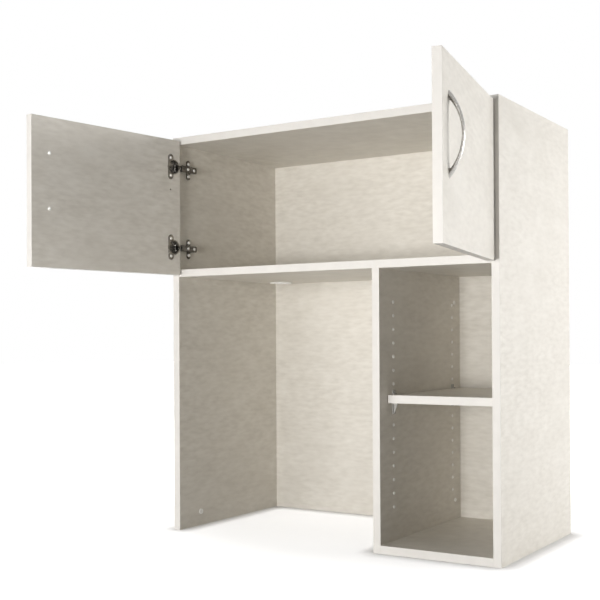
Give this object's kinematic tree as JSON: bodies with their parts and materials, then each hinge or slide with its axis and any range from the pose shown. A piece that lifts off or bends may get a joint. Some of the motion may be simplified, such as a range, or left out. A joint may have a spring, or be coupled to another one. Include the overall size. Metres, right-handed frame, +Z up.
{
  "type": "locker cabinet",
  "caption": "White board hutch-style locker cabinet: cup-hinged doors with bow handles over an open bay and a narrow bay with an adjustable shelf.",
  "frame": {"origin": "on the floor, at the middle of the back panel's lower edge", "axes": "+Z up, -Y the open front with the doors, +X the user's right, where the shelf bay is"},
  "size_m": [1.0797, 0.8972, 1.016],
  "materials": {
    "board": "white melamine-faced board, finely textured",
    "edge_band": "white edge band",
    "white_plastic": "moulded white plastic",
    "clear_plastic": "clear moulded plastic",
    "satin_nickel": "satin nickel",
    "nickel_plate": "bright nickel plate",
    "screw_steel": "zinc plate",
    "beech": "fluted beech, hidden in the joints"
  },
  "bodies": {
    "carcass": {"left_side_panel": "board", "right_side_panel": "board", "top_panel": "board", "fixed_shelf": "board", "divider_panel": "board", "bottom_panel": "board", "back_panel": "board", "left_side_edging": "edge_band", "right_side_edging": "edge_band", "top_edging": "edge_band", "fixed_shelf_edging": "edge_band", "divider_edging": "edge_band", "bottom_edging": "edge_band", "wood_dowels": "beech", "side_cover_cap": "white_plastic", "divider_cover_caps": "white_plastic", "cable_grommet": "white_plastic", "grommet_ring": "white_plastic", "adjustable_shelf": "board", "adjustable_shelf_edging": "edge_band", "shelf_clips": "clear_plastic", "shelf_hole_plugs": "white_plastic", "left_upper_hinge_plate": "nickel_plate", "left_upper_hinge_arm": "nickel_plate", "left_lower_hinge_plate": "nickel_plate", "left_lower_hinge_arm": "nickel_plate", "left_plate_screws": "screw_steel", "left_arm_screws": "screw_steel", "right_upper_hinge_plate": "nickel_plate", "right_upper_hinge_arm": "nickel_plate", "right_lower_hinge_plate": "nickel_plate", "right_lower_hinge_arm": "nickel_plate", "right_plate_screws": "screw_steel", "right_arm_screws": "screw_steel"},
    "left_door": {"left_door": "board", "left_door_edging": "edge_band", "left_handle": "satin_nickel", "left_handle_screws": "screw_steel", "left_upper_hinge_cup": "nickel_plate", "left_lower_hinge_cup": "nickel_plate", "left_hinge_pins": "nickel_plate", "left_cup_screws": "screw_steel"},
    "right_door": {"right_door": "board", "right_door_edging": "edge_band", "right_handle": "satin_nickel", "right_handle_screws": "screw_steel", "right_upper_hinge_cup": "nickel_plate", "right_lower_hinge_cup": "nickel_plate", "right_hinge_pins": "nickel_plate", "right_cup_screws": "screw_steel"}
  },
  "joints": [
    {"name": "left_door_hinge", "type": "hinge", "parent": "carcass", "child": "left_door", "pos_m": [-0.4345, -0.4571, 0.83225], "axis": [0, 0, -1], "range_deg": [-99, 6]},
    {"name": "right_door_hinge", "type": "hinge", "parent": "carcass", "child": "right_door", "pos_m": [0.4345, -0.4571, 0.83225], "axis": [0, 0, 1], "range_deg": [-101, 4]}
  ]
}
